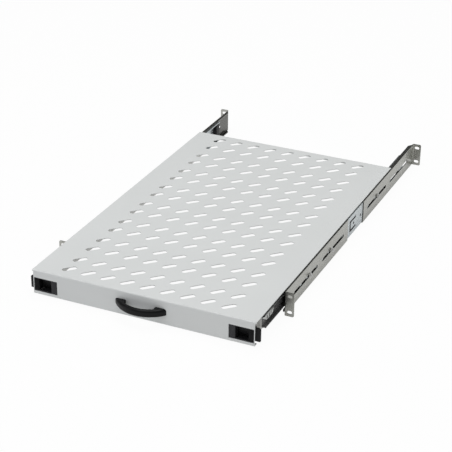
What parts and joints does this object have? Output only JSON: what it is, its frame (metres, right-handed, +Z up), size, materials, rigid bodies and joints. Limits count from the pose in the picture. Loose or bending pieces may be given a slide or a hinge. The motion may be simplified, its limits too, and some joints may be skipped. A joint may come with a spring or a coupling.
{
  "type": "sliding rack shelf",
  "caption": "Perforated sliding shelf for a 19-inch rack, on ball-bearing slides, with adjustable ear brackets, a bow handle and spring latches in its front panel.",
  "frame": {"origin": "centre of the four front ear holes, on the ears' rear face where they meet the front rack posts", "axes": "+X to the right seen from the front, +Y from the front posts to the rear posts, +Z up"},
  "size_m": [0.4826, 0.892, 0.0528],
  "materials": {
    "powder_coat": "light grey powder coat, fine orange peel",
    "galvanised_steel": "galvanised sheet, dull warm grey",
    "zinc_plate": "bluish bright zinc plating",
    "black_coat": "thin black electro-coat on steel, half gloss",
    "bright_steel": "zinc-plated fasteners",
    "cage_steel": "pressed steel strip, lightly oiled",
    "ball_steel": "polished steel",
    "spring_steel": "spring wire",
    "black_plastic": "black moulded plastic, fine grain"
  },
  "bodies": {
    "rack_side": {"left_front_bracket": "galvanised_steel", "left_rear_bracket": "galvanised_steel", "left_outer_member": "zinc_plate", "left_rear_stop": "black_plastic", "left_bracket_bolts": "bright_steel", "left_bracket_nuts": "bright_steel", "right_front_bracket": "galvanised_steel", "right_rear_bracket": "galvanised_steel", "right_outer_member": "zinc_plate", "right_rear_stop": "black_plastic", "right_bracket_bolts": "bright_steel", "right_bracket_nuts": "bright_steel"},
    "shelf": {"shelf_tray": "powder_coat", "handle": "black_plastic", "handle_screws": "bright_steel", "left_side_rail": "galvanised_steel", "left_inner_member": "black_coat", "left_slide_screws": "bright_steel", "left_slide_nuts": "bright_steel", "left_lever_rivet": "bright_steel", "left_latch_housing": "black_plastic", "left_latch_spring": "spring_steel", "right_side_rail": "galvanised_steel", "right_inner_member": "black_coat", "right_slide_screws": "bright_steel", "right_slide_nuts": "bright_steel", "right_lever_rivet": "bright_steel", "right_latch_housing": "black_plastic", "right_latch_spring": "spring_steel"},
    "left_mid_slide": {"left_intermediate_member": "black_coat", "left_front_bumper": "black_plastic"},
    "left_outer_cage": {"left_outer_ball_cage": "cage_steel", "left_outer_balls": "ball_steel"},
    "left_inner_cage": {"left_inner_ball_cage": "cage_steel", "left_inner_balls": "ball_steel"},
    "left_latch": {"left_latch_bolt": "black_plastic"},
    "left_lever": {"left_release_lever": "zinc_plate"},
    "right_mid_slide": {"right_intermediate_member": "black_coat", "right_front_bumper": "black_plastic"},
    "right_outer_cage": {"right_outer_ball_cage": "cage_steel", "right_outer_balls": "ball_steel"},
    "right_inner_cage": {"right_inner_ball_cage": "cage_steel", "right_inner_balls": "ball_steel"},
    "right_latch": {"right_latch_bolt": "black_plastic"},
    "right_lever": {"right_release_lever": "zinc_plate"}
  },
  "joints": [
    {"name": "shelf_slide", "type": "slide", "parent": "rack_side", "child": "shelf", "axis": [0, -1, 0], "range_m": [-0.127, 0.455]},
    {"name": "left_mid_slide_travel", "type": "slide", "parent": "rack_side", "child": "left_mid_slide", "axis": [0, -1, 0], "range_m": [-0.0635, 0.2275]},
    {"name": "left_outer_cage_travel", "type": "slide", "parent": "rack_side", "child": "left_outer_cage", "axis": [0, -1, 0], "range_m": [-0.03175, 0.11375]},
    {"name": "left_inner_cage_travel", "type": "slide", "parent": "rack_side", "child": "left_inner_cage", "axis": [0, -1, 0], "range_m": [-0.09525, 0.34125]},
    {"name": "left_latch_slide", "type": "slide", "parent": "shelf", "child": "left_latch", "axis": [1, 0, 0], "range_m": [0, 0.0066], "stiffness_N_per_m": 300, "springref_m": -0.005, "deforming": ["left_latch_spring"]},
    {"name": "left_lever_tilt", "type": "hinge", "parent": "shelf", "child": "left_lever", "pos_m": [-0.2138, -0.038, 0.00275], "axis": [1, 0, 0], "range_deg": [-2, 12], "stiffness_Nm_per_rad": 0.2},
    {"name": "right_mid_slide_travel", "type": "slide", "parent": "rack_side", "child": "right_mid_slide", "axis": [0, -1, 0], "range_m": [-0.0635, 0.2275]},
    {"name": "right_outer_cage_travel", "type": "slide", "parent": "rack_side", "child": "right_outer_cage", "axis": [0, -1, 0], "range_m": [-0.03175, 0.11375]},
    {"name": "right_inner_cage_travel", "type": "slide", "parent": "rack_side", "child": "right_inner_cage", "axis": [0, -1, 0], "range_m": [-0.09525, 0.34125]},
    {"name": "right_latch_slide", "type": "slide", "parent": "shelf", "child": "right_latch", "axis": [-1, 0, 0], "range_m": [0, 0.0066], "stiffness_N_per_m": 300, "springref_m": -0.005, "deforming": ["right_latch_spring"]},
    {"name": "right_lever_tilt", "type": "hinge", "parent": "shelf", "child": "right_lever", "pos_m": [0.2138, -0.038, 0.00275], "axis": [1, 0, 0], "range_deg": [-2, 12], "stiffness_Nm_per_rad": 0.2}
  ],
  "couplings": [
    {"joint": "left_mid_slide_travel", "follows": "shelf_slide", "ratio": 0.5},
    {"joint": "left_outer_cage_travel", "follows": "shelf_slide", "ratio": 0.25},
    {"joint": "left_inner_cage_travel", "follows": "shelf_slide", "ratio": 0.75},
    {"joint": "right_mid_slide_travel", "follows": "shelf_slide", "ratio": 0.5},
    {"joint": "right_outer_cage_travel", "follows": "shelf_slide", "ratio": 0.25},
    {"joint": "right_inner_cage_travel", "follows": "shelf_slide", "ratio": 0.75}
  ]
}
